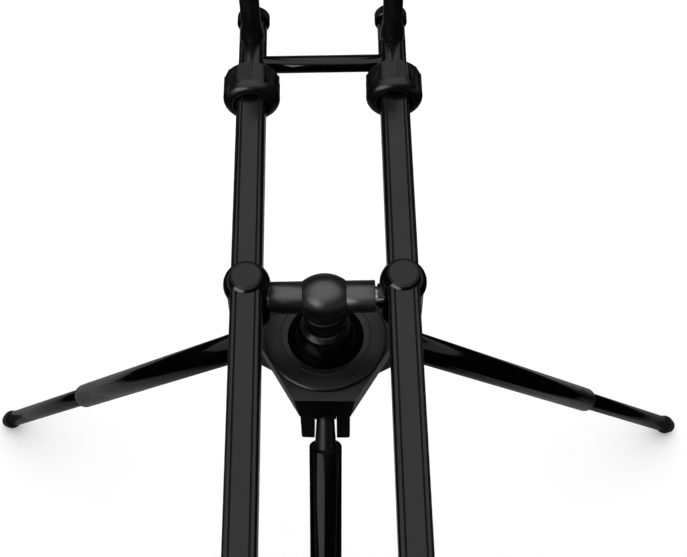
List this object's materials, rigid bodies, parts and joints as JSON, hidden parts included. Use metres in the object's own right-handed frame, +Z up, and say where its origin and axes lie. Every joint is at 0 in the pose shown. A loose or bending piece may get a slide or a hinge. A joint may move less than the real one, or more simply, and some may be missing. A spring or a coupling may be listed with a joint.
{
  "type": "music stand",
  "caption": "Black folding tripod stand with a ball-mounted crossbar, sliding twin rails, locking collars and upright arms.",
  "frame": {"origin": "on the floor, under the middle of the stand's bounding box", "axes": "+X to the stand's right and across the two rails, +Y along the rails away from the near end, +Z up"},
  "size_m": [0.9086, 0.8031, 0.8851],
  "materials": {
    "cast_black": "satin black powder coat on cast aluminium",
    "turned_black": "satin black anodised, turned",
    "rail_black": "satin black anodised extrusion",
    "gloss_black": "glossy black paint on aluminium tube",
    "plastic_black": "satin black moulded plastic",
    "bare_steel": "brushed",
    "rubber_black": "matt black"
  },
  "bodies": {
    "hub": {"hub_body": "cast_black", "hub_disc": "turned_black", "ball_seat": "plastic_black", "seat_nut": "turned_black", "leg_pins": "bare_steel"},
    "ball": {"swivel_ball": "gloss_black"},
    "tee": {"neck": "turned_black", "neck_flange": "turned_black", "tee_ball": "turned_black", "tee_sleeve_left": "turned_black", "tee_sleeve_right": "turned_black"},
    "clamps": {"axle": "bare_steel", "clamp_left": "cast_black", "clamp_right": "cast_black", "clamp_caps": "plastic_black"},
    "rails": {"rail_left": "rail_black", "rail_right": "rail_black", "rail_noses": "turned_black", "rail_end_caps": "plastic_black"},
    "collar_left_body": {"collar_left": "plastic_black"},
    "collar_right_body": {"collar_right": "plastic_black"},
    "end_frame": {"inner_tube_left": "gloss_black", "inner_tube_right": "gloss_black", "head_left": "turned_black", "head_right": "turned_black", "crossbar": "gloss_black", "arm_left": "gloss_black", "arm_right": "gloss_black", "arm_plugs": "plastic_black"},
    "knob_left_body": {"knob_left": "plastic_black"},
    "knob_right_body": {"knob_right": "plastic_black"},
    "leg_front": {"leg_knuckle_front": "cast_black", "leg_tube_front": "gloss_black", "leg_bush_front": "plastic_black"},
    "foot_front": {"leg_inner_front": "gloss_black", "foot_ring_front": "plastic_black", "foot_pad_front": "rubber_black"},
    "leg_left": {"leg_knuckle_left": "cast_black", "leg_tube_left": "gloss_black", "leg_bush_left": "plastic_black"},
    "foot_left": {"leg_inner_left": "gloss_black", "foot_ring_left": "plastic_black", "foot_pad_left": "rubber_black"},
    "leg_right": {"leg_knuckle_right": "cast_black", "leg_tube_right": "gloss_black", "leg_bush_right": "plastic_black"},
    "foot_right": {"leg_inner_right": "gloss_black", "foot_ring_right": "plastic_black", "foot_pad_right": "rubber_black"}
  },
  "joints": [
    {"name": "ball_lean", "type": "hinge", "parent": "hub", "child": "ball", "pos_m": [0, 0.122, 0.6804], "axis": [0, 1, 0], "range_deg": [-10, 10]},
    {"name": "pan", "type": "hinge", "parent": "ball", "child": "tee", "pos_m": [0, 0.122, 0.7034], "axis": [0, 0, 1], "continuous": true},
    {"name": "tilt", "type": "hinge", "parent": "tee", "child": "clamps", "pos_m": [0, 0.122, 0.7489], "axis": [1, 0, 0], "range_deg": [-35, 35]},
    {"name": "rails_slide", "type": "slide", "parent": "clamps", "child": "rails", "axis": [0, 1, 0], "range_m": [-0.13, 0.25]},
    {"name": "extension", "type": "slide", "parent": "rails", "child": "end_frame", "axis": [0, 1, 0], "range_m": [0, 0.2]},
    {"name": "collar_left_turn", "type": "hinge", "parent": "rails", "child": "collar_left_body", "pos_m": [-0.0595, 0.312, 0.7689], "axis": [0, 1, 0], "range_deg": [0, 120]},
    {"name": "knob_left_turn", "type": "hinge", "parent": "end_frame", "child": "knob_left_body", "pos_m": [-0.0595, 0.397, 0.7689], "axis": [0, 1, 0], "continuous": true},
    {"name": "collar_right_turn", "type": "hinge", "parent": "rails", "child": "collar_right_body", "pos_m": [0.0611, 0.312, 0.7689], "axis": [0, 1, 0], "range_deg": [0, 120]},
    {"name": "knob_right_turn", "type": "hinge", "parent": "end_frame", "child": "knob_right_body", "pos_m": [0.0611, 0.397, 0.7689], "axis": [0, 1, 0], "continuous": true},
    {"name": "leg_fold_front", "type": "hinge", "parent": "hub", "child": "leg_front", "pos_m": [-0.00134, 0.07392, 0.6496], "axis": [-0.9996, 0.0279, 0], "range_deg": [-36, 0]},
    {"name": "leg_slide_front", "type": "slide", "parent": "leg_front", "child": "foot_front", "axis": [-0.0164, -0.5876, -0.809], "range_m": [-0.26, 0.06]},
    {"name": "leg_fold_left", "type": "hinge", "parent": "hub", "child": "leg_left", "pos_m": [-0.04097, 0.1472, 0.6496], "axis": [0.524, 0.8517, 0], "range_deg": [-36, 0]},
    {"name": "leg_slide_left", "type": "slide", "parent": "leg_left", "child": "foot_left", "axis": [-0.5006, 0.308, -0.809], "range_m": [-0.26, 0.06]},
    {"name": "leg_fold_right", "type": "hinge", "parent": "hub", "child": "leg_right", "pos_m": [0.04231, 0.14488, 0.6496], "axis": [0.4756, -0.8796, 0], "range_deg": [-36, 0]},
    {"name": "leg_slide_right", "type": "slide", "parent": "leg_right", "child": "foot_right", "axis": [0.517, 0.2796, -0.809], "range_m": [-0.26, 0.06]}
  ]
}
